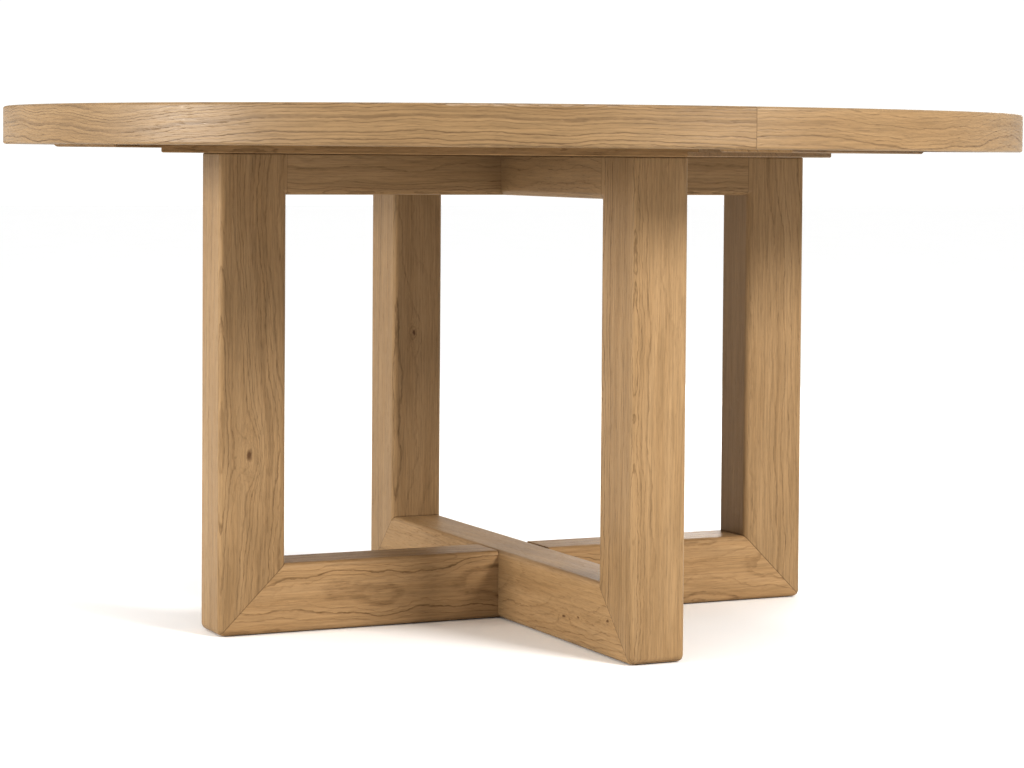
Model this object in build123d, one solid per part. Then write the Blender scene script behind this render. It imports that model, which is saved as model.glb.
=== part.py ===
"""Round dining table on a crossed-frame pedestal, modelled in millimetres.

The origin is on the floor, below the centre of the top, and +Z points up. One closed frame stands in
the XZ plane with its legs at -X (left) and +X (right). The other stands in the YZ plane with its legs
at -Y (front) and +Y (back). The boards of the top run along V, halfway between +X and -Y. The boards
below the top are squared up to U, halfway between +X and +Y, and to V.
"""

from build123d import *
from math import sqrt
import os

# Top
HEIGHT = 762.0
TOP_DIAMETER = 1520.0
RIM_HEIGHT = 55.0
RIM_WIDTH = 55.0
RIM_EDGE_RADIUS = 4.0
RIM_SEGMENTS = 3
RIM_FIRST_JOINT = -90.7
BOARD_THICKNESS = 32.0
BOARD_COUNT = 9

# Boards below the top
UNDER_THICKNESS = 26.5
SUB_BOARD_SIDE = 830.0
BATTEN_LENGTH = 840.0
BATTEN_WIDTH = 100.0
BATTEN_OFFSETS = {"left": -510.0, "right": 491.0}
BATTEN_CORNER_RADIUS = 25.0
PLATE_SIDE = 786.0
PLATE_THICKNESS = 7.0
UNDER_CHAMFER = 1.5

# Crossed frames
FRAME_LENGTH = 964.0
FRAME_THICKNESS = 85.0
LEG_WIDTH = 101.0
BOTTOM_RAIL_TOP = 102.0
TOP_RAIL_HEIGHT = 59.5
FLOOR_GAP = 1.0
CORNER_RADIUS = 10.0
EDGE_RADIUS = 8.0
LEG_TOP_RADIUS = 2.5

# Joinery
MITRE_TENON = 50.0
MITRE_TENON_THICKNESS = 12.0
MITRE_TENON_OFFSET = 22.0
DOWEL_RADIUS = 6.0
DOWEL_LENGTH = 70.0
DOWEL_OFFSET = 20.0
SPLINE_HEIGHT = 6.0
SPLINE_WIDTH = 18.0
SPLINE_END_MARGIN = 3.0
RIM_TENON = (60.0, 10.0, 34.0)

# Wood screws, one size throughout apart from their length
SCREW_RADIUS = 2.5
SCREW_HEAD_RADIUS = 5.0
SCREW_HEAD_HEIGHT = 3.0
SCREW_TIP = 6.0
SCREW_POINT_RADIUS = 0.4
SCREW_RECESS = (5.2, 1.1, 4.0)
SCREW_LENGTH = 45.0
PLATE_SCREW_LENGTH = 60.0
FLOOR_CROSSING_SCREW_LENGTH = 75.0
TOP_CROSSING_SCREW_LENGTH = 50.0
CROSSING_SCREW_OFFSET = 20.0
PLATE_SCREW_STATIONS = (200.0, 430.0, 462.0)
SCREW_STATIONS_ALONG_BOARD = (-360.0, -120.0, 120.0, 360.0)

# Bolts that hold the pedestal to the top
BOLT_RADIUS = 4.0
BOLT_LENGTH = 26.0
BOLT_HEAD_RADIUS = 8.0
BOLT_HEAD_HEIGHT = 4.0
BOLT_SOCKET_RADIUS = 2.9
BOLT_SOCKET_DEPTH = 2.5
INSERT_RADIUS = 6.0
INSERT_LENGTH = 18.0
BOLT_NEAR = 110.0
BOLT_FAR = 330.0

# Levelling feet
FOOT_STATION = 425.0
PAD_RADIUS = 15.0
PAD_HEIGHT = 5.0
PAD_EDGE = 1.0
STEM_RADIUS = 4.0
STEM_CLEARANCE = 0.05
STEM_TOP = 36.0
STEM_CHAMFER = 0.8
STEM_HOLE_RADIUS = 5.0
STEM_FLANGE_RADIUS = 7.0
STEM_FLANGE_HEIGHT = 2.0
STEM_BASE = 2.0
COUNTERBORE_RADIUS = 17.0
COUNTERBORE_TOP = 5.4
STEM_HOLE_TOP = 44.0

# Worked out from the dimensions above
TOP_RADIUS = TOP_DIAMETER / 2
BOARD_RADIUS = TOP_RADIUS - RIM_WIDTH
BOARD_WIDTH = 2 * BOARD_RADIUS / BOARD_COUNT
BOARD_BOTTOM = HEIGHT - BOARD_THICKNESS
UNDER_BOTTOM = BOARD_BOTTOM - UNDER_THICKNESS
FRAME_TOP = UNDER_BOTTOM - PLATE_THICKNESS
TOP_RAIL_BOTTOM = FRAME_TOP - TOP_RAIL_HEIGHT
FRAME_END = FRAME_LENGTH / 2
LEG_INNER = FRAME_END - LEG_WIDTH
FLOOR_LAP = (FLOOR_GAP + BOTTOM_RAIL_TOP) / 2
TOP_LAP = (TOP_RAIL_BOTTOM + FRAME_TOP) / 2
SPLINE_Z = (BOARD_BOTTOM + HEIGHT) / 2

# How near two lengths are taken as equal, and how far a cutter reaches past what it cuts
TOLERANCE = 0.01
BEYOND = 40.0

# U and V are X and Y turned by -45 degrees about Z, so that local X is V and local Y is U
UNDER_TURN = Rot(0, 0, -45)
QUARTER_TURNS = (0, 90, 180, 270)
RIM_ARC = 360 / RIM_SEGMENTS
RIM_TURNS = [RIM_FIRST_JOINT + index * RIM_ARC for index in range(RIM_SEGMENTS)]
POINT_UP = Rot(180, 0, 0)


def one_solid(shape):
    """The single solid of a boolean result, or an error where it has come apart."""
    solids = shape.solids()
    if len(solids) != 1:
        raise ValueError(f"expected one solid, found {len(solids)}")
    return solids[0]


def group(shapes):
    """One node made of several separate solids."""
    return Compound(children=[one_solid(shape) for shape in shapes])


def less(shape, cutters):
    """shape without each of cutters."""
    for cutter in cutters:
        shape = shape - cutter
    return shape


def upright(radius, bottom, top):
    """A cylinder about Z between two heights."""
    return Pos(0, 0, bottom) * Cylinder(radius, top - bottom, align=(Align.CENTER, Align.CENTER, Align.MIN))


def square_block(length, width, bottom, top):
    """A block centred on Z between two heights."""
    height = top - bottom
    return Pos(0, 0, bottom) * Box(length, width, height, align=(Align.CENTER, Align.CENTER, Align.MIN))


# Crossed frames


def closed_frame():
    """The whole frame in the XZ plane, before it is parted into its legs and rails."""
    frame = square_block(FRAME_LENGTH, FRAME_THICKNESS, FLOOR_GAP, FRAME_TOP)
    corners = frame.edges().filter_by(Axis.Y).group_by(Axis.Z)[0]
    frame = fillet(corners, CORNER_RADIUS)
    frame -= square_block(2 * LEG_INNER, 2 * FRAME_THICKNESS, BOTTOM_RAIL_TOP, TOP_RAIL_BOTTOM)
    face_y = FRAME_THICKNESS / 2
    on_faces = [
        edge
        for edge in frame.edges()
        if abs(abs(edge.center().Y) - face_y) < TOLERANCE and edge.center().Z < FRAME_TOP - TOLERANCE
    ]
    frame = fillet(on_faces, EDGE_RADIUS)
    top_edges = [edge for edge in frame.edges() if edge.center().Z > FRAME_TOP - TOLERANCE]
    return fillet(top_edges, LEG_TOP_RADIUS)


def leg_region():
    """The space of the right-hand leg, down to the 45-degree mitre at its foot."""
    slope = (BOTTOM_RAIL_TOP - FLOOR_GAP) / LEG_WIDTH
    outline = Polyline(
        (LEG_INNER, BOTTOM_RAIL_TOP),
        (LEG_INNER, FRAME_TOP + BEYOND),
        (FRAME_END + BEYOND, FRAME_TOP + BEYOND),
        (FRAME_END + BEYOND, FLOOR_GAP - BEYOND * slope),
        close=True,
    )
    return extrude(Plane.XZ * make_face(outline), amount=FRAME_THICKNESS, both=True)


def mitre_tenons(end):
    """The two loose tenons across one mitre, at the end where X has the sign of end."""
    middle_x = end * (LEG_INNER + FRAME_END) / 2
    tenon = Rot(0, 45, 0) * Box(MITRE_TENON, MITRE_TENON_THICKNESS, MITRE_TENON)
    return [Pos(middle_x, side * MITRE_TENON_OFFSET, FLOOR_LAP) * tenon for side in (-1, 1)]


def rail_dowels(end):
    """The two dowels between one leg and the top rail."""
    dowel = Rot(0, 90, 0) * Cylinder(DOWEL_RADIUS, DOWEL_LENGTH)
    return [Pos(end * LEG_INNER, side * DOWEL_OFFSET, TOP_LAP) * dowel for side in (-1, 1)]


def lap_notch(bottom, top):
    """What one rail is notched by where the other crosses it."""
    return square_block(FRAME_THICKNESS, 2 * FRAME_THICKNESS, bottom, top)


def foot_socket(end):
    """The counterbore and the blind hole that one levelling foot goes up into."""
    socket = upright(COUNTERBORE_RADIUS, 0, COUNTERBORE_TOP) + upright(STEM_HOLE_RADIUS, 0, STEM_HOLE_TOP)
    socket += upright(INSERT_RADIUS, 0, COUNTERBORE_TOP + INSERT_LENGTH)
    return Pos(end * FOOT_STATION, 0, 0) * socket


def frame_pieces(notched_from_above):
    """The two legs and two rails of one frame in the XZ plane, as (left, right, bottom rail, top rail)."""
    frame = closed_frame()
    right_region = leg_region()
    left_region = Rot(0, 0, 180) * right_region
    right = frame & right_region
    left = frame & left_region
    rails = frame - right_region - left_region
    middle = (BOTTOM_RAIL_TOP + TOP_RAIL_BOTTOM) / 2
    bottom = one_solid(rails & square_block(FRAME_LENGTH, FRAME_LENGTH, 0, middle))
    top = one_solid(rails & square_block(FRAME_LENGTH, FRAME_LENGTH, middle, HEIGHT))
    if notched_from_above:
        bottom = bottom - lap_notch(FLOOR_LAP, middle)
        top = top - lap_notch(TOP_LAP, HEIGHT)
    else:
        bottom = bottom - lap_notch(0, FLOOR_LAP)
        top = top - lap_notch(middle, TOP_LAP)
    left = less(left, mitre_tenons(-1) + rail_dowels(-1))
    right = less(right, mitre_tenons(1) + rail_dowels(1))
    bottom = less(bottom, mitre_tenons(-1) + mitre_tenons(1) + [foot_socket(-1), foot_socket(1)])
    top = less(top, rail_dowels(-1) + rail_dowels(1))
    return left, right, bottom, top


def frame_y(shapes):
    """Shapes of the XZ frame turned into the YZ frame, so that right becomes back."""
    return [Rot(0, 0, 90) * shape for shape in shapes]


# Fasteners


def screw_hole(length):
    """The countersunk hole that one screw fills, pointing down from the origin."""
    shank_end = -(length - SCREW_TIP)
    hole = upright(SCREW_RADIUS, shank_end, 0)
    head = Cone(SCREW_RADIUS, SCREW_HEAD_RADIUS, SCREW_HEAD_HEIGHT)
    hole += Pos(0, 0, -SCREW_HEAD_HEIGHT / 2) * head
    tip = Cone(SCREW_POINT_RADIUS, SCREW_RADIUS, SCREW_TIP)
    return hole + Pos(0, 0, shank_end - SCREW_TIP / 2) * tip


def wood_screw(length):
    """A countersunk screw that points down, with its head's face at the origin and a cross recess."""
    slot = Box(*SCREW_RECESS)
    return less(screw_hole(length), [slot, Rot(0, 0, 90) * slot])


def crossing_screw_places():
    """Where the screws through the two half-laps start, with the length of each."""
    offset = CROSSING_SCREW_OFFSET
    places = []
    for x, y in ((offset, -offset), (-offset, offset)):
        places.append((Pos(x, y, FLOOR_GAP) * POINT_UP, FLOOR_CROSSING_SCREW_LENGTH))
    for x, y in ((offset, offset), (-offset, -offset)):
        places.append((Pos(x, y, FRAME_TOP), TOP_CROSSING_SCREW_LENGTH))
    return places


def plate_screw_places():
    """Where the screws down through the plate into the legs and top rails start."""
    places = []
    for turn in QUARTER_TURNS:
        for station in PLATE_SCREW_STATIONS:
            places.append(Rot(0, 0, turn) * Pos(station, 0, UNDER_BOTTOM))
    return places


def board_centres():
    """The middles of the boards that the sub-board and the battens cross, along U."""
    reach = BATTEN_LENGTH / 2
    middles = [(index - (BOARD_COUNT - 1) / 2) * BOARD_WIDTH for index in range(BOARD_COUNT)]
    return [middle for middle in middles if abs(middle) < reach]


def sub_board_screw_places():
    """Where the screws up through the sub-board into the boards of the top start."""
    places = []
    for along_u in board_centres():
        for along_v in SCREW_STATIONS_ALONG_BOARD:
            places.append(UNDER_TURN * Pos(along_v, along_u, UNDER_BOTTOM) * POINT_UP)
    return places


def batten_screw_places(offset):
    """Where the screws up through the batten at offset along V start."""
    places = []
    for along_u in board_centres():
        places.append(UNDER_TURN * Pos(offset, along_u, UNDER_BOTTOM) * POINT_UP)
    return places


def all_batten_screw_places():
    """Where the screws up through both battens start."""
    places = []
    for offset in BATTEN_OFFSETS.values():
        places += batten_screw_places(offset)
    return places


def bolt_places():
    """Where the eight bolts pass up through the plate, two on each side of each half frame."""
    places = []
    for turn in QUARTER_TURNS:
        for side in (-1, 1):
            places.append(Rot(0, 0, turn) * Pos(BOLT_FAR, side * BOLT_NEAR, FRAME_TOP))
    return places


def bolt_clearance():
    """The countersunk hole that a bolt fills in the plate, whose lower face is at the origin."""
    hole = upright(BOLT_RADIUS, 0, PLATE_THICKNESS)
    head = Cone(BOLT_HEAD_RADIUS, BOLT_RADIUS, BOLT_HEAD_HEIGHT)
    return hole + Pos(0, 0, BOLT_HEAD_HEIGHT / 2) * head


def plate_bolt():
    """A countersunk bolt that points up, with its head flush with the plate's lower face."""
    bolt = bolt_clearance() + upright(BOLT_RADIUS, PLATE_THICKNESS, BOLT_LENGTH)
    return bolt - extrude(RegularPolygon(BOLT_SOCKET_RADIUS, 6), amount=BOLT_SOCKET_DEPTH)


def ring(outer_radius, inner_radius, bottom, top):
    """A plain ring about Z between two heights."""
    return upright(outer_radius, bottom, top) - upright(inner_radius, bottom, top)


def bolt_insert():
    """The threaded insert in the sub-board that a bolt screws into."""
    return ring(INSERT_RADIUS, BOLT_RADIUS, PLATE_THICKNESS, PLATE_THICKNESS + INSERT_LENGTH)


# Boards below the top


def sub_board():
    """The square board fixed to the underside of the top, with holes for its screws and inserts."""
    board = UNDER_TURN * square_block(SUB_BOARD_SIDE, SUB_BOARD_SIDE, UNDER_BOTTOM, BOARD_BOTTOM)
    hole = screw_hole(SCREW_LENGTH)
    board = less(board, [place * hole for place in sub_board_screw_places()])
    socket = upright(INSERT_RADIUS, PLATE_THICKNESS, PLATE_THICKNESS + INSERT_LENGTH)
    socket += upright(BOLT_RADIUS, PLATE_THICKNESS, BOLT_LENGTH)
    return less(board, [place * socket for place in bolt_places()])


def base_plate():
    """The thin square panel that the two frames are screwed to and the top is bolted to."""
    plate = square_block(PLATE_SIDE, PLATE_SIDE, FRAME_TOP, UNDER_BOTTOM)
    plate = chamfer(plate.edges().group_by(Axis.Z)[0], UNDER_CHAMFER)
    plate = UNDER_TURN * plate
    hole = screw_hole(PLATE_SCREW_LENGTH)
    plate = less(plate, [place * hole for place in plate_screw_places()])
    return less(plate, [place * bolt_clearance() for place in bolt_places()])


def side_batten(offset):
    """The batten at offset along V, one of two that hold the boards flat, rounded along its lower ends."""
    batten = square_block(BATTEN_WIDTH, BATTEN_LENGTH, UNDER_BOTTOM, BOARD_BOTTOM)
    lower_ends = batten.edges().filter_by(Axis.X).group_by(Axis.Z)[0]
    batten = fillet(lower_ends, BATTEN_CORNER_RADIUS)
    lower_sides = batten.edges().filter_by(Axis.Y).group_by(Axis.Z)[0]
    batten = chamfer(lower_sides, UNDER_CHAMFER)
    batten = UNDER_TURN * Pos(offset, 0, 0) * batten
    hole = screw_hole(SCREW_LENGTH)
    return less(batten, [place * hole for place in batten_screw_places(offset)])


# Top


def rim_spline(turn):
    """The curved spline glued between one rim segment and the ends of the boards."""
    middle = BOARD_RADIUS
    section = Pos(middle, SPLINE_Z) * Rectangle(SPLINE_WIDTH, SPLINE_HEIGHT)
    arc = RIM_ARC - 2 * SPLINE_END_MARGIN
    return Rot(0, 0, turn + SPLINE_END_MARGIN) * revolve(Plane.XZ * section, Axis.Z, revolution_arc=arc)


def rim_tenon(turn):
    """The loose tenon across the joint between two rim segments."""
    along, radial, high = RIM_TENON
    middle = (BOARD_RADIUS + TOP_RADIUS) / 2
    return Rot(0, 0, turn) * Pos(middle, 0, HEIGHT - RIM_HEIGHT / 2) * Box(radial, along, high)


def rim_segment(turn):
    """One segment of the rim, from the joint at turn degrees round to the next."""
    middle = (BOARD_RADIUS + TOP_RADIUS) / 2
    section = Pos(middle, HEIGHT - RIM_HEIGHT / 2) * Rectangle(RIM_WIDTH, RIM_HEIGHT)
    section = fillet(section.vertices().group_by(Axis.X)[-1], RIM_EDGE_RADIUS)
    segment = Rot(0, 0, turn) * revolve(Plane.XZ * section, Axis.Z, revolution_arc=RIM_ARC)
    return less(segment, [rim_spline(turn), rim_tenon(turn), rim_tenon(turn + RIM_ARC)])


def top_board(index):
    """One board of the top, cut to the circle inside the rim and grooved for the splines."""
    middle = (index + 0.5) * BOARD_WIDTH - BOARD_RADIUS
    disc = upright(BOARD_RADIUS, BOARD_BOTTOM, HEIGHT)
    strip = square_block(2 * TOP_RADIUS, BOARD_WIDTH, BOARD_BOTTOM, HEIGHT)
    board = disc & (UNDER_TURN * Pos(0, middle, 0) * strip)
    board = less(board, [rim_spline(turn) for turn in RIM_TURNS])
    hole = screw_hole(SCREW_LENGTH)
    for place in sub_board_screw_places() + all_batten_screw_places():
        along_u = (place.position.X + place.position.Y) / sqrt(2)
        if abs(along_u - middle) < TOLERANCE:
            board = board - place * hole
    return board


# Levelling feet


def foot_pad():
    """The nylon pad of a levelling foot, moulded round the flange of its stem."""
    pad = upright(PAD_RADIUS, 0, PAD_HEIGHT)
    pad = fillet(pad.edges().group_by(Axis.Z)[0], PAD_EDGE)
    pad -= upright(STEM_FLANGE_RADIUS, STEM_BASE, STEM_BASE + STEM_FLANGE_HEIGHT)
    return pad - upright(STEM_RADIUS, STEM_BASE, PAD_HEIGHT)


def foot_stem():
    """The steel stem of a levelling foot, with its flange inside the pad."""
    stem = upright(STEM_RADIUS, STEM_BASE, STEM_TOP)
    stem = chamfer(stem.edges().group_by(Axis.Z)[-1], STEM_CHAMFER)
    return stem + upright(STEM_FLANGE_RADIUS, STEM_BASE, STEM_BASE + STEM_FLANGE_HEIGHT)


def foot_insert():
    """The threaded insert in a bottom rail that the stem runs in."""
    bore = STEM_RADIUS + STEM_CLEARANCE
    return ring(INSERT_RADIUS, bore, COUNTERBORE_TOP, COUNTERBORE_TOP + INSERT_LENGTH)


def all_parts():
    """Every node by name, in the place where it is on the finished table."""
    parts = {}

    left, right, bottom_x, top_x = frame_pieces(notched_from_above=True)
    front, back, bottom_y, top_y = frame_y(frame_pieces(notched_from_above=False))
    holes = [place * screw_hole(length) for place, length in crossing_screw_places()]
    holes += [place * screw_hole(PLATE_SCREW_LENGTH) for place in plate_screw_places()]
    timbers = {
        "leg_left": left,
        "leg_right": right,
        "leg_front": front,
        "leg_back": back,
        "bottom_rail_x": bottom_x,
        "bottom_rail_y": bottom_y,
        "top_rail_x": top_x,
        "top_rail_y": top_y,
    }
    for name, timber in timbers.items():
        parts[name] = one_solid(less(timber, holes))

    tenons = mitre_tenons(-1) + mitre_tenons(1)
    dowels = rail_dowels(-1) + rail_dowels(1)
    parts["mitre_tenons"] = group(tenons + frame_y(tenons))
    parts["top_rail_dowels"] = group(dowels + frame_y(dowels))
    crossing_screws = [place * wood_screw(length) for place, length in crossing_screw_places()]
    parts["crossing_screws"] = group(crossing_screws)

    parts["base_plate"] = one_solid(base_plate())
    plate_screw = wood_screw(PLATE_SCREW_LENGTH)
    parts["plate_screws"] = group(place * plate_screw for place in plate_screw_places())
    parts["plate_bolts"] = group(place * plate_bolt() for place in bolt_places())
    parts["plate_inserts"] = group(place * bolt_insert() for place in bolt_places())

    board_screw = wood_screw(SCREW_LENGTH)
    parts["sub_board"] = one_solid(sub_board())
    parts["sub_board_screws"] = group(place * board_screw for place in sub_board_screw_places())
    for side, offset in BATTEN_OFFSETS.items():
        parts[f"side_batten_{side}"] = one_solid(side_batten(offset))
    parts["batten_screws"] = group(place * board_screw for place in all_batten_screw_places())

    for index in range(BOARD_COUNT):
        parts[f"top_board_{index + 1}"] = one_solid(top_board(index))
    for number, turn in enumerate(RIM_TURNS, start=1):
        parts[f"rim_segment_{number}"] = one_solid(rim_segment(turn))
    parts["rim_splines"] = group(rim_spline(turn) for turn in RIM_TURNS)
    parts["rim_tenons"] = group(rim_tenon(turn) for turn in RIM_TURNS)

    for side, turn in (("right", 0), ("back", 90), ("left", 180), ("front", 270)):
        place = Rot(0, 0, turn) * Pos(FOOT_STATION, 0, 0)
        parts[f"foot_pad_{side}"] = one_solid(place * foot_pad())
        parts[f"foot_stem_{side}"] = one_solid(place * foot_stem())
        parts[f"foot_insert_{side}"] = one_solid(place * foot_insert())
    return parts


os.makedirs("parts", exist_ok=True)
for node, shape in all_parts().items():
    export_step(shape, f"parts/{node}.step")
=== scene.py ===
"""Looks of the round oak table: materials, floor, light and camera. Metres, in the CAD model's own frame."""

from math import cos, radians, sin

import bpy
from mathutils import Matrix, Vector


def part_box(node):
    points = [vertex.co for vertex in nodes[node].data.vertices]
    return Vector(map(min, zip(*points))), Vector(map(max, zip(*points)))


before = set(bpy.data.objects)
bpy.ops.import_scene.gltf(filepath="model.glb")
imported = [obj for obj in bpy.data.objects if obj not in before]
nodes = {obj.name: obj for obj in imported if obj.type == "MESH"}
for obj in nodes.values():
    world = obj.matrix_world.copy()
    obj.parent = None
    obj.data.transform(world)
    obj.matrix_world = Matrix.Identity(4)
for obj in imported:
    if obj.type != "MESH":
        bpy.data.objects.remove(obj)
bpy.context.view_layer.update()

# Directions in the row frame. U runs across the boards of the top, and V along them.
X = Vector((1, 0, 0))
Y = Vector((0, 1, 0))
Z = Vector((0, 0, 1))
U = Vector((1, 1, 0)).normalized()
V = Vector((1, -1, 0)).normalized()

# Wood tones, linear
OAK_PALE = (0.330, 0.226, 0.124, 1.0)
OAK_MID = (0.268, 0.176, 0.090, 1.0)
OAK_DARK = (0.125, 0.072, 0.032, 1.0)
OAK_PORE = (0.090, 0.048, 0.021, 1.0)
OAK_KNOT = (0.100, 0.050, 0.022, 1.0)
BEECH = (0.450, 0.310, 0.190, 1.0)

# Tint, gloss and extra roughness of the oak pieces
PLAIN = (1.0, 1.0, 1.0)
RAIL_X_TINT = (1.16, 1.16, 1.18)
# Painted light: the whole bottom_rail_y is made brighter, standing in for light its left face misses near the
# crossing
RAIL_Y_PAINTED_LIGHT = (1.09, 1.09, 1.09)
UNDERSIDE_TINT = (0.90, 0.87, 0.84)
RIM_TINT = (0.81, 0.79, 0.735)
BOARD_GLOSS = 0.16
RAIL_GLOSS = 0.07
UNDERSIDE_GLOSS = 0.03
RIM_GLOSS = 0.40
TOP_DULL = 0.10
RIM_DULL = 0.04
BOARD_BUMP = 0.5
RIM_BUMP = 0.4
RELIEF_DEPTH = 0.0006

# Glue lines
SEAM_HALF_WIDTH = 0.00035
RIM_SEAM_HALF_WIDTH = 0.0003
SEAM_FADE = 2.4

# How the wood bends from straight: noise frequency along and across the grain, and size in metres
BEND_SCALE = (2.4, 2.0, 2.0)
BEND_SIZE = 0.040
WAVE_SCALE = (14.0, 14.0, 14.0)
WAVE_SIZE = 0.009
JAG_SCALE = (120.0, 330.0, 330.0)
JAG_SIZE = 0.0010

# Noise frequency of the finer detail, along and across the grain
BREAK_SCALE = (30.0, 300.0, 300.0)
PORE_SCALE = (55.0, 760.0, 760.0)
FIBRE_SCALE = (12.0, 330.0, 330.0)
STREAK_SCALE = (2.6, 55.0, 55.0)
CLOUD_SCALE = (5.0, 12.0, 12.0)
RAY_LENGTHWISE = 55.0
RAY_AROUND = 130.0
RAY_OUTWARD = 70.0

# The dark line of a year ring is at its darkest, and has faded, at these shares of the ring
LINE_PEAK = 0.10
LINE_END = 0.42

# Rim: its first joint and the arc of a segment in degrees, its year rings, and how far the grain wanders
RIM_FIRST_JOINT = -90.7
RIM_ARC = 120
RIM_RING = 0.0056
RIM_WANDER = 1.35
# For each segment: how far in and how far down the heart of the tree lies, and how dark the grain lines are
RIM_WOOD = (((0.055, 0.095), 0.95), ((0.050, 0.135), 1.3), ((0.045, 0.120), 1.7))

# Lights: heading from +X and elevation in degrees, then distance, width, height and power
LIGHT_AIM = Vector((0, 0, 0.45))
SIDE_LIGHT = (178, 11.5, 4.2, 1.0, 0.9, 129)
FRONT_LIGHT = (-70, 23, 4.2, 1.0, 0.9, 152)
FILL_LIGHT = (50, 10, 4.2, 1.6, 1.4, 32)
TOP_LIGHT = (0, 88, 3.0, 1.6, 1.6, 45)
ROOM_LIGHT = 1.06
DISPLAY_GAMMA = 0.77
FLOOR_HALF_WIDTH = 30.0

# Camera: a long lens just below the rim's lower edge, with its angles in degrees
CAMERA_PLACE = Vector((-1.7753, -3.8964, 0.7013))
CAMERA_HEADING = 26.227
CAMERA_PITCH = 2.176
CAMERA_ROLL = 0.483
CAMERA_SENSOR = 36.0
CAMERA_LENS = 99.19
CAMERA_SHIFT = (-0.0859, -0.1211)
CAMERA_REACH = 100.0


# Shader building


def feed(tree, socket, value):
    """Sets a socket to a constant, or links it to the socket that value is."""
    if isinstance(value, bpy.types.NodeSocket):
        tree.links.new(value, socket)
    else:
        socket.default_value = value


def add(tree, kind, inputs=None, **settings):
    """A shader node with its settings and inputs."""
    made = tree.nodes.new("ShaderNode" + kind)
    for name, value in settings.items():
        setattr(made, name, value)
    for key, value in (inputs or {}).items():
        feed(tree, made.inputs[key], value)
    return made


def calc(tree, operation, *values):
    """The result of one Math node."""
    return add(tree, "Math", dict(enumerate(values)), operation=operation).outputs[0]


def vector_calc(tree, operation, *values):
    """The vector result of one Vector Math node."""
    return add(tree, "VectorMath", dict(enumerate(values)), operation=operation).outputs[0]


def stretch(tree, vector, scale, shift=(0, 0, 0)):
    """vector times scale plus shift, axis by axis."""
    return vector_calc(tree, "MULTIPLY_ADD", vector, scale, shift)


def scaled(tree, vector, factor):
    """vector times one number."""
    return add(tree, "VectorMath", {0: vector, "Scale": factor}, operation="SCALE").outputs[0]


def length(tree, vector):
    """The length of vector."""
    return add(tree, "VectorMath", {0: vector}, operation="LENGTH").outputs["Value"]


def combined(tree, *parts):
    """The vector made of two or three numbers."""
    return add(tree, "CombineXYZ", dict(enumerate(parts))).outputs[0]


def separated(tree, vector):
    """The three numbers of a vector."""
    return add(tree, "SeparateXYZ", {0: vector}).outputs


def noise(tree, vector, scale, detail=2.0, roughness=0.5):
    """The outputs of a Noise Texture node: a number, then a colour."""
    inputs = {"Vector": vector, "Scale": scale, "Detail": detail, "Roughness": roughness}
    return add(tree, "TexNoise", inputs).outputs


def ramp(tree, value, low, high, to_low=0.0, to_high=1.0):
    """value taken smoothly from low..high to to_low..to_high."""
    inputs = {"Value": value, 1: low, 2: high, 3: to_low, 4: to_high}
    return add(tree, "MapRange", inputs, interpolation_type="SMOOTHSTEP").outputs[0]


def blend(tree, factor, first, second):
    """The colour of a Mix node, whose colour sockets are found by number."""
    made = add(tree, "Mix", data_type="RGBA")
    for index, value in ((0, factor), (6, first), (7, second)):
        feed(tree, made.inputs[index], value)
    return made.outputs[2]


def new_group(name, inputs, outputs):
    """An empty node group, as (group, the sockets it is given, the sockets of its result)."""
    tree = bpy.data.node_groups.new(name, "ShaderNodeTree")
    for label, kind, default in inputs:
        socket = tree.interface.new_socket(label, in_out="INPUT", socket_type=kind)
        if default is not None:
            socket.default_value = default
    for label, kind in outputs:
        tree.interface.new_socket(label, in_out="OUTPUT", socket_type=kind)
    return tree, tree.nodes.new("NodeGroupInput").outputs, tree.nodes.new("NodeGroupOutput").inputs


def use_group(tree, group, inputs):
    """The outputs of one use of a node group."""
    made = tree.nodes.new("ShaderNodeGroup")
    made.node_tree = group
    for key, value in inputs.items():
        feed(tree, made.inputs[key], value)
    return made.outputs


def new_material(name):
    """A plain material, as (material, node tree, the shader's inputs, row coordinates)."""
    material = bpy.data.materials.new(name)
    material.use_nodes = True
    tree = material.node_tree
    tree.nodes.clear()
    shader = tree.nodes.new("ShaderNodeBsdfPrincipled")
    output = tree.nodes.new("ShaderNodeOutputMaterial")
    tree.links.new(shader.outputs[0], output.inputs[0])
    coordinates = add(tree, "TexCoord").outputs["Object"]
    return material, tree, shader.inputs, coordinates


def set_relief(tree, shader, height, strength, depth):
    """Gives the shader a bump."""
    relief = add(tree, "Bump", {"Strength": strength, "Distance": depth, "Height": height})
    feed(tree, shader["Normal"], relief.outputs[0])


def dress(node, material):
    """Gives a CAD node its material."""
    slots = nodes[node].data.materials
    for index in range(len(slots)):
        slots[index] = material


# Oak. Wood space has X along the grain and the heart of the tree along Y = Z = 0, in metres.


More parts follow.
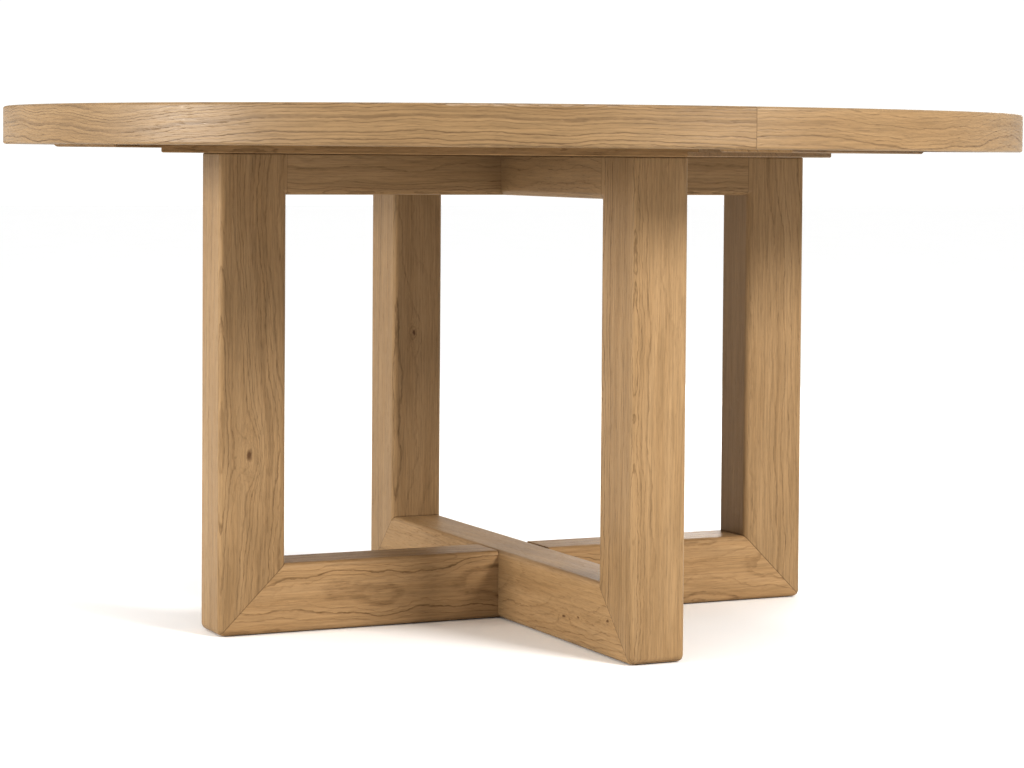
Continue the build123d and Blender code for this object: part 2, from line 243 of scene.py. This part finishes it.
def make_knot_group():
    """Bends the wood round one knot, and says where its dark heart is."""
    group, given, result = new_group(
        "knot",
        [
            ("Vector", "NodeSocketVector", None),
            ("Centre", "NodeSocketVector", None),
            ("Size", "NodeSocketFloat", 0.006),
        ],
        [("Vector", "NodeSocketVector"), ("Heart", "NodeSocketFloat")],
    )
    offset = vector_calc(group, "SUBTRACT", given["Vector"], given["Centre"])
    wobble = noise(group, given["Vector"], 90.0)[1]
    wobble = stretch(group, wobble, (0.006, 0.006, 0.006), (-0.003, -0.003, -0.003))
    offset = vector_calc(group, "ADD", offset, wobble)
    # A knot is about twice as long along the grain as across it
    away = length(group, stretch(group, offset, (0.45, 1.0, 1.0)))
    ratio = calc(group, "DIVIDE", away, given["Size"])
    near = calc(group, "EXPONENT", calc(group, "MULTIPLY", calc(group, "MULTIPLY", ratio, ratio), -0.16))
    push = calc(group, "MULTIPLY", calc(group, "MULTIPLY", near, given["Size"]), 1.9)
    shift = add(group, "CombineXYZ", {"Z": push}).outputs[0]
    feed(group, result["Vector"], vector_calc(group, "ADD", given["Vector"], shift))
    feed(group, result["Heart"], ramp(group, ratio, 0.25, 0.75, 1.0, 0.0))
    return group


def drift(tree, place, scale, size, detail=1.0):
    """Noise that moves the wood across the grain, by up to half of size each way."""
    moved = noise(tree, stretch(tree, place, scale), 1.0, detail)[1]
    return stretch(tree, moved, (0.0, size, size), (0.0, -size / 2, -size / 2))


def ring_lines(tree, given, place, outward, radius):
    """The dark line that begins each year ring. Rings differ in width, and their lines in strength."""
    years = calc(tree, "DIVIDE", radius, given["Ring"])
    uneven = noise(tree, combined(tree, calc(tree, "ADD", years, given["Seed"])), 0.35, 1.0)[0]
    years = calc(tree, "ADD", years, calc(tree, "MULTIPLY", uneven, 5.0))
    phase = calc(tree, "FRACT", years)
    year = calc(tree, "FLOOR", years)
    chance = add(tree, "TexWhiteNoise", {"W": year}, noise_dimensions="1D").outputs[0]
    strength = calc(tree, "MULTIPLY", calc(tree, "POWER", chance, 1.5), 0.65)
    strength = calc(tree, "ADD", strength, 0.35)
    rise = ramp(tree, phase, 0.0, LINE_PEAK)
    fall = ramp(tree, phase, LINE_PEAK, LINE_END, 1.0, 0.0)
    line = calc(tree, "MULTIPLY", calc(tree, "MULTIPLY", rise, fall), strength)
    broken = noise(tree, stretch(tree, place, BREAK_SCALE), 1.0, 3.0, 0.6)[0]
    line = calc(tree, "MULTIPLY", line, ramp(tree, broken, 0.30, 0.58, 0.55, 1.0))
    # Where a face lies along the rings the lines would spread into blotches, so they fade there
    facing = calc(tree, "ABSOLUTE", calc(tree, "DIVIDE", outward, radius))
    return calc(tree, "MULTIPLY", line, ramp(tree, facing, 0.93, 1.0, 1.0, 0.45))


def make_oak_group():
    """Oak cut from anywhere in a log: rings, pores, rays and streaks, as colour, roughness and height."""
    group, given, result = new_group(
        "oak",
        [
            ("Vector", "NodeSocketVector", None),
            ("Seed", "NodeSocketFloat", 0.0),
            ("Ring", "NodeSocketFloat", 0.0055),
            ("Wander", "NodeSocketFloat", 1.0),
            ("Contrast", "NodeSocketFloat", 1.0),
            ("Heart", "NodeSocketFloat", 0.0),
            ("Seam", "NodeSocketFloat", 0.0),
            ("Dull", "NodeSocketFloat", 0.0),
        ],
        [("Color", "NodeSocketColor"), ("Roughness", "NodeSocketFloat"), ("Height", "NodeSocketFloat")],
    )
    vector = given["Vector"]
    place = vector_calc(group, "ADD", vector, combined(group, given["Seed"], given["Seed"]))

    # The trunk isn't straight: slow bends, the small waves that make grain lines wander, and ragged edges
    bend = drift(group, place, BEND_SCALE, BEND_SIZE)
    wave = drift(group, place, WAVE_SCALE, WAVE_SIZE, 3.0)
    jag = drift(group, place, JAG_SCALE, JAG_SIZE)
    moved = scaled(group, vector_calc(group, "ADD", bend, wave), given["Wander"])
    wood = vector_calc(group, "ADD", vector_calc(group, "ADD", vector, jag), moved)
    along, across, outward = separated(group, wood)
    squares = [calc(group, "MULTIPLY", part, part) for part in (across, outward)]
    radius = calc(group, "SQRT", calc(group, "ADD", *squares))
    angle = calc(group, "ARCTAN2", outward, across)
    line = ring_lines(group, given, place, outward, radius)

    # Open pores, thickest where each ring begins
    pores = noise(group, stretch(group, place, PORE_SCALE), 1.0, 1.0, 0.6)[0]
    pore = calc(group, "MULTIPLY", ramp(group, pores, 0.54, 0.70), ramp(group, line, 0.0, 0.6, 0.35, 1.0))

    # Rays: thin sheets that run outwards from the heart
    sheets = combined(
        group,
        calc(group, "MULTIPLY", along, RAY_LENGTHWISE),
        calc(group, "MULTIPLY", angle, RAY_AROUND),
        calc(group, "MULTIPLY", radius, RAY_OUTWARD),
    )
    ray = ramp(group, noise(group, sheets, 1.0, 1.0)[0], 0.66, 0.74)

    # Fibres, and broad streaks and clouds of tone
    fibres = noise(group, stretch(group, place, FIBRE_SCALE), 1.0, 4.0, 0.7)[0]
    streaks = noise(group, stretch(group, wood, STREAK_SCALE, (4.0, 7.0, 1.0)), 1.0, 3.0, 0.6)[0]
    clouds = noise(group, stretch(group, place, CLOUD_SCALE, (9.0, 2.0, 5.0)), 1.0, 2.0)[0]
    streaky = calc(group, "MULTIPLY", ramp(group, streaks, 0.25, 0.75), 0.75)
    cloudy = calc(group, "MULTIPLY", ramp(group, clouds, 0.3, 0.7), 0.25)

    colour = blend(group, calc(group, "ADD", streaky, cloudy), OAK_PALE, OAK_MID)
    amount = calc(group, "MULTIPLY", calc(group, "MULTIPLY", line, given["Contrast"]), 0.62)
    colour = blend(group, amount, colour, OAK_DARK)
    colour = scaled(group, colour, ramp(group, fibres, 0.25, 0.75, 0.86, 1.13))
    for mask, share, tone in (
        (ray, 0.28, OAK_PALE),
        (pore, 0.42, OAK_PORE),
        (given["Heart"], 0.9, OAK_KNOT),
        (given["Seam"], 0.45, OAK_PORE),
    ):
        colour = blend(group, calc(group, "MULTIPLY", mask, share), colour, tone)

    rough = ramp(group, fibres, 0.2, 0.8, 0.34, 0.44)
    rough = calc(group, "ADD", rough, calc(group, "MULTIPLY", pore, 0.25))
    rough = calc(group, "SUBTRACT", rough, calc(group, "MULTIPLY", ray, 0.06))
    rough = calc(group, "ADD", rough, given["Dull"])
    height = calc(group, "MULTIPLY", ramp(group, fibres, 0.2, 0.8), 0.20)
    for mask, depth in ((pore, 0.75), (line, 0.35), (given["Seam"], 1.5)):
        height = calc(group, "SUBTRACT", height, calc(group, "MULTIPLY", mask, depth))

    feed(group, result["Color"], colour)
    feed(group, result["Roughness"], rough)
    feed(group, result["Height"], height)
    return group


KNOT = make_knot_group()
OAK = make_oak_group()


def seam_mask(tree, coordinates, planes, half_width):
    """1 on the joint planes, each a point and a normal, and 0 a little way off."""
    nearest = None
    for point, normal in planes:
        normal = Vector(normal).normalized()
        level = add(tree, "VectorMath", {0: coordinates, 1: normal}, operation="DOT_PRODUCT").outputs["Value"]
        distance = calc(tree, "ABSOLUTE", calc(tree, "SUBTRACT", level, Vector(point).dot(normal)))
        nearest = distance if nearest is None else calc(tree, "MINIMUM", nearest, distance)
    return ramp(tree, nearest, half_width, SEAM_FADE * half_width, 1.0, 0.0)


def finish_oak(tree, shader, look, tint, bump, gloss):
    """Links the oak to the shader. look holds the inputs of the oak group."""
    oak = use_group(tree, OAK, look)
    feed(tree, shader["Base Color"], vector_calc(tree, "MULTIPLY", oak["Color"], tint))
    feed(tree, shader["Roughness"], oak["Roughness"])
    set_relief(tree, shader, oak["Height"], bump, RELIEF_DEPTH)
    shader["Specular IOR Level"].default_value = gloss


def dress_board(
    node,
    grain,
    outward,
    heart,
    seed,
    ring,
    wander,
    contrast,
    knots=(),
    planes=(),
    tint=PLAIN,
    gloss=BOARD_GLOSS,
    dull=0.0,
):
    """Straight-grained oak for one node, with everything in the row frame.

    grain and outward are directions, and heart is a point on the heart of the tree. Each knot is a point and a
    size. planes are the glue lines that end on the piece.
    """
    material, tree, shader, coordinates = new_material(f"oak_{node}")
    rows = Matrix((grain, outward.cross(grain), outward))
    shift = -(rows @ Vector(heart))
    turn = {"Vector": coordinates, "Location": shift, "Rotation": rows.to_euler("XYZ")}
    wood = add(tree, "Mapping", turn, vector_type="POINT").outputs[0]
    core = 0.0
    for number, (centre, size) in enumerate(knots):
        bent = use_group(tree, KNOT, {"Vector": wood, "Centre": rows @ Vector(centre) + shift, "Size": size})
        wood = bent["Vector"]
        core = calc(tree, "MAXIMUM", core, bent["Heart"]) if number else bent["Heart"]
    look = {
        "Vector": wood,
        "Seed": seed,
        "Ring": ring,
        "Wander": wander,
        "Contrast": contrast,
        "Heart": core,
        "Seam": seam_mask(tree, coordinates, planes, SEAM_HALF_WIDTH) if planes else 0.0,
        "Dull": dull,
    }
    finish_oak(tree, shader, look, tint, BOARD_BUMP, gloss)
    dress(node, material)


# Pedestal

LEG_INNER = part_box("top_rail_x")[1].x
RAIL_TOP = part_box("bottom_rail_x")[1].z
FRAME_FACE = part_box("leg_left")[0].y


def mitre(direction):
    """The joint plane between a leg and the bottom rail, at the end that direction points to."""
    return direction * LEG_INNER + Z * RAIL_TOP, direction + Z


def butts(direction):
    """The joint planes at both ends of a top rail."""
    return [(direction * LEG_INNER, direction), (direction * -LEG_INNER, direction)]


dress_board(
    "leg_left", Z, -Y, heart=(-0.335, 0.14, 0), seed=1.3, ring=0.0042, wander=0.8, contrast=1.0,
    knots=[((-0.437, FRAME_FACE, 0.262), 0.007)], planes=[mitre(-X)],
)
dress_board(
    "leg_right", Z, -Y, heart=(0.36, 0.17, 0), seed=7.1, ring=0.0044, wander=0.7, contrast=0.8,
    planes=[mitre(X)],
)
dress_board(
    "leg_front", Z, -Y, heart=(0.016, -0.380, 0), seed=4.6, ring=0.0042, wander=0.8, contrast=1.2,
    planes=[mitre(-Y)],
)
dress_board(
    "leg_back", Z, -Y, heart=(0.05, 0.62, 0), seed=9.2, ring=0.0050, wander=1.0, contrast=1.0,
    knots=[((-0.007, LEG_INNER, 0.404), 0.004)], planes=[mitre(Y)],
)
dress_board(
    "bottom_rail_x", X, -Y, heart=(0, 0.035, 0.050), seed=2.9, ring=0.0048, wander=1.1, contrast=1.4,
    planes=[mitre(X), mitre(-X)], tint=RAIL_X_TINT, gloss=RAIL_GLOSS,
)
# This rail's tint is painted light: it brightens the whole rail in place of light that the side softbox
# doesn't give it near the crossing
dress_board(
    "bottom_rail_y", Y, -X, heart=(0.10, 0, 0.085), seed=5.5, ring=0.0050, wander=1.1, contrast=0.8,
    knots=[
        ((FRAME_FACE, -0.272, 0.038), 0.004),
        ((FRAME_FACE, -0.318, 0.044), 0.0032),
        ((FRAME_FACE, -0.412, 0.052), 0.0032),
    ],
    planes=[mitre(Y), mitre(-Y)], tint=RAIL_Y_PAINTED_LIGHT, gloss=RAIL_GLOSS,
)
dress_board(
    "top_rail_x", X, -Y, heart=(0, 0.08, 0.72), seed=3.7, ring=0.0052, wander=1.0, contrast=1.1,
    planes=butts(X),
)
dress_board(
    "top_rail_y", Y, -X, heart=(0.08, 0, 0.61), seed=8.3, ring=0.0052, wander=1.0, contrast=1.1,
    planes=butts(Y),
)

# Boards below the top

for number, node in enumerate(("base_plate", "sub_board")):
    dress_board(
        node, V, -Z, heart=(0.1, 0.05, 0.80 + 0.03 * number), seed=11.0 + number, ring=0.0075, wander=1.0,
        contrast=0.8, tint=UNDERSIDE_TINT, gloss=UNDERSIDE_GLOSS,
    )
for number, node in enumerate(("side_batten_left", "side_batten_right")):
    dress_board(
        node, U, -Z, heart=(0.2, -0.2, 0.78), seed=13.0 + number, ring=0.0065, wander=0.8,
        contrast=0.8, tint=UNDERSIDE_TINT, gloss=UNDERSIDE_GLOSS,
    )

# Top

RIM_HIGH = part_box("rim_segment_1")[1]
TOP_RADIUS = RIM_HIGH.x
TOP_HEIGHT = RIM_HIGH.z
BOARD_COUNT = sum(name.startswith("top_board_") for name in nodes)
MIDDLE_BOARD = nodes[f"top_board_{(BOARD_COUNT + 1) // 2}"].data
BOARDS_RADIUS = max(vertex.co.xy.length for vertex in MIDDLE_BOARD.vertices)
BOARD_WIDTH = 2 * BOARDS_RADIUS / BOARD_COUNT

for index in range(BOARD_COUNT):
    middle = (index + 0.5) * BOARD_WIDTH - BOARDS_RADIUS
    edges = [(U * (middle + side * BOARD_WIDTH / 2), U) for side in (-1, 1)]
    # Each board comes from its own place in the log, and has its own tone
    aside = 0.05 * sin(5.1 * index)
    depth = 0.10 + 0.05 * sin(2.7 * index)
    light = 1.0 + 0.05 * sin(4.3 * index + 1.0)
    dress_board(
        f"top_board_{index + 1}", V, Z, heart=U * (middle + aside) + Z * (TOP_HEIGHT - depth),
        seed=20.0 + 1.7 * index, ring=0.0070, wander=1.0, contrast=0.9, planes=edges,
        tint=(light, light, light), dull=TOP_DULL,
    )


def dress_rim(node, start, heart, seed, contrast):
    """Oak for one rim segment, from its joint at start degrees, with the grain following the rim."""
    inset, drop = heart
    material, tree, shader, coordinates = new_material(f"oak_{node}")
    back = {"Vector": coordinates, "Angle": -radians(start + RIM_ARC / 2)}
    forward, sideways, up = separated(tree, add(tree, "VectorRotate", back, rotation_type="Z_AXIS").outputs[0])
    wood = combined(
        tree,
        calc(tree, "MULTIPLY", calc(tree, "ARCTAN2", sideways, forward), TOP_RADIUS),
        calc(tree, "SUBTRACT", up, TOP_HEIGHT - drop),
        calc(tree, "SUBTRACT", length(tree, combined(tree, forward, sideways)), TOP_RADIUS - inset),
    )
    ends = [radians(angle) for angle in (start, start + RIM_ARC)]
    planes = [((0, 0, 0), (-sin(end), cos(end), 0)) for end in ends]
    look = {
        "Vector": wood,
        "Seed": seed,
        "Ring": RIM_RING,
        "Wander": RIM_WANDER,
        "Contrast": contrast,
        "Seam": seam_mask(tree, coordinates, planes, RIM_SEAM_HALF_WIDTH),
        "Dull": RIM_DULL,
    }
    finish_oak(tree, shader, look, RIM_TINT, RIM_BUMP, RIM_GLOSS)
    dress(node, material)


for number, (heart, contrast) in enumerate(RIM_WOOD, start=1):
    start = RIM_FIRST_JOINT + RIM_ARC * (number - 1)
    dress_rim(f"rim_segment_{number}", start, heart, 31.0 + 3.3 * number, contrast)

# Joinery, fasteners and feet


def beech():
    """Plain beech of the tenons, dowels and splines."""
    material, tree, shader, coordinates = new_material("beech")
    flecks = noise(tree, stretch(tree, coordinates, (300.0, 300.0, 300.0)), 1.0, 3.0)[0]
    feed(tree, shader["Base Color"], blend(tree, ramp(tree, flecks, 0.3, 0.7), BEECH, OAK_PALE))
    feed(tree, shader["Roughness"], ramp(tree, flecks, 0.3, 0.7, 0.5, 0.62))
    return material


def zinc():
    """Zinc-plated steel with faint drawn marks."""
    material, tree, shader, coordinates = new_material("zinc_steel")
    marks = noise(tree, coordinates, 900.0, 4.0, 0.7)[0]
    cloud = noise(tree, coordinates, 160.0, 2.0)[0]
    colour = blend(tree, ramp(tree, cloud, 0.35, 0.65), (0.56, 0.57, 0.58, 1), (0.66, 0.66, 0.64, 1))
    feed(tree, shader["Base Color"], colour)
    feed(tree, shader["Roughness"], ramp(tree, marks, 0.3, 0.7, 0.26, 0.42))
    shader["Metallic"].default_value = 1.0
    set_relief(tree, shader, marks, 0.25, 0.0001)
    return material


def brass():
    """Brass of the threaded inserts."""
    material, tree, shader, coordinates = new_material("brass")
    marks = noise(tree, coordinates, 700.0, 4.0, 0.7)[0]
    colour = blend(tree, ramp(tree, marks, 0.3, 0.7), (0.62, 0.42, 0.15, 1), (0.72, 0.52, 0.22, 1))
    feed(tree, shader["Base Color"], colour)
    feed(tree, shader["Roughness"], ramp(tree, marks, 0.3, 0.7, 0.25, 0.4))
    shader["Metallic"].default_value = 1.0
    return material


def nylon():
    """Black moulded nylon with a fine grain."""
    material, tree, shader, coordinates = new_material("nylon")
    grain = noise(tree, coordinates, 1800.0, 3.0, 0.6)[0]
    colour = blend(tree, ramp(tree, grain, 0.3, 0.7), (0.012, 0.012, 0.013, 1), (0.022, 0.022, 0.024, 1))
    feed(tree, shader["Base Color"], colour)
    feed(tree, shader["Roughness"], ramp(tree, grain, 0.3, 0.7, 0.5, 0.65))
    set_relief(tree, shader, grain, 0.3, 0.0001)
    return material


SIDES = ("right", "back", "left", "front")
JOINERY = ["mitre_tenons", "top_rail_dowels", "rim_splines", "rim_tenons"]
SCREWS = ["crossing_screws", "plate_screws", "sub_board_screws", "batten_screws", "plate_bolts"]
STEMS = [f"foot_stem_{side}" for side in SIDES]
INSERTS = ["plate_inserts"] + [f"foot_insert_{side}" for side in SIDES]
PADS = [f"foot_pad_{side}" for side in SIDES]
for members, material in ((JOINERY, beech()), (SCREWS + STEMS, zinc()), (INSERTS, brass()), (PADS, nylon())):
    for node in members:
        dress(node, material)


# Studio


def floor():
    """A plain pale floor, wide enough for every view."""
    mesh = bpy.data.meshes.new("floor")
    far = FLOOR_HALF_WIDTH
    mesh.from_pydata([(-far, -far, 0), (far, -far, 0), (far, far, 0), (-far, far, 0)], [], [(0, 1, 2, 3)])
    made = bpy.data.objects.new("floor", mesh)
    bpy.context.scene.collection.objects.link(made)
    material, tree, shader, coordinates = new_material("floor_paint")
    cloud = noise(tree, coordinates, 3.0, 2.0)[0]
    feed(tree, shader["Base Color"], blend(tree, cloud, (0.93, 0.93, 0.928, 1), (0.95, 0.95, 0.948, 1)))
    shader["Roughness"].default_value = 0.9
    shader["Specular IOR Level"].default_value = 0.1
    mesh.materials.append(material)


def softbox(name, heading, elevation, distance, width, height, power):
    """A rectangular light that faces the middle of the table."""
    heading = radians(heading)
    elevation = radians(elevation)
    toward = Vector((cos(heading) * cos(elevation), sin(heading) * cos(elevation), sin(elevation)))
    data = bpy.data.lights.new(name, "AREA")
    data.shape = "RECTANGLE"
    data.size = width
    data.size_y = height
    data.energy = power
    light = bpy.data.objects.new(name, data)
    bpy.context.scene.collection.objects.link(light)
    light.location = LIGHT_AIM + toward * distance
    light.rotation_euler = toward.to_track_quat("Z", "Y").to_euler()
    return light


def studio():
    """Softboxes in a white room."""
    world = bpy.data.worlds.new("studio")
    bpy.context.scene.world = world
    world.use_nodes = True
    background = world.node_tree.nodes["Background"]
    background.inputs["Color"].default_value = (1, 1, 1, 1)
    background.inputs["Strength"].default_value = ROOM_LIGHT

    softbox("front_softbox", *FRONT_LIGHT)
    softbox("fill_softbox", *FILL_LIGHT)
    # The right leg stands in the shade of the side light
    side = softbox("side_softbox", *SIDE_LIGHT)
    shade = bpy.data.collections.new("out_of_the_side_light")
    shade.objects.link(nodes["leg_right"])
    shade.collection_objects[0].light_linking.link_state = "EXCLUDE"
    side.light_linking.receiver_collection = shade
    # The light above reaches only the top
    above = softbox("top_softbox", *TOP_LIGHT)
    lit = bpy.data.collections.new("in_the_top_light")
    for name, node in nodes.items():
        if name.startswith(("top_board_", "rim_segment_")):
            lit.objects.link(node)
    above.light_linking.receiver_collection = lit

    view = bpy.context.scene.view_settings
    view.view_transform = "Standard"
    view.gamma = DISPLAY_GAMMA


def camera():
    """The photograph's viewpoint."""
    heading = radians(CAMERA_HEADING)
    pitch = radians(CAMERA_PITCH)
    roll = radians(CAMERA_ROLL)
    level_right = Vector((cos(heading), -sin(heading), 0))
    level_forward = Vector((sin(heading), cos(heading), 0))
    forward = level_forward * cos(pitch) - Z * sin(pitch)
    level_up = level_right.cross(forward)
    right = level_right * cos(roll) + level_up * sin(roll)
    up = level_up * cos(roll) - level_right * sin(roll)
    data = bpy.data.cameras.new("camera")
    data.sensor_width = CAMERA_SENSOR
    data.lens = CAMERA_LENS
    data.shift_x, data.shift_y = CAMERA_SHIFT
    data.clip_end = CAMERA_REACH
    made = bpy.data.objects.new("camera", data)
    bpy.context.scene.collection.objects.link(made)
    place = Matrix((right, up, -forward)).transposed().to_4x4()
    place.translation = CAMERA_PLACE
    made.matrix_world = place
    bpy.context.scene.camera = made


floor()
studio()
camera()
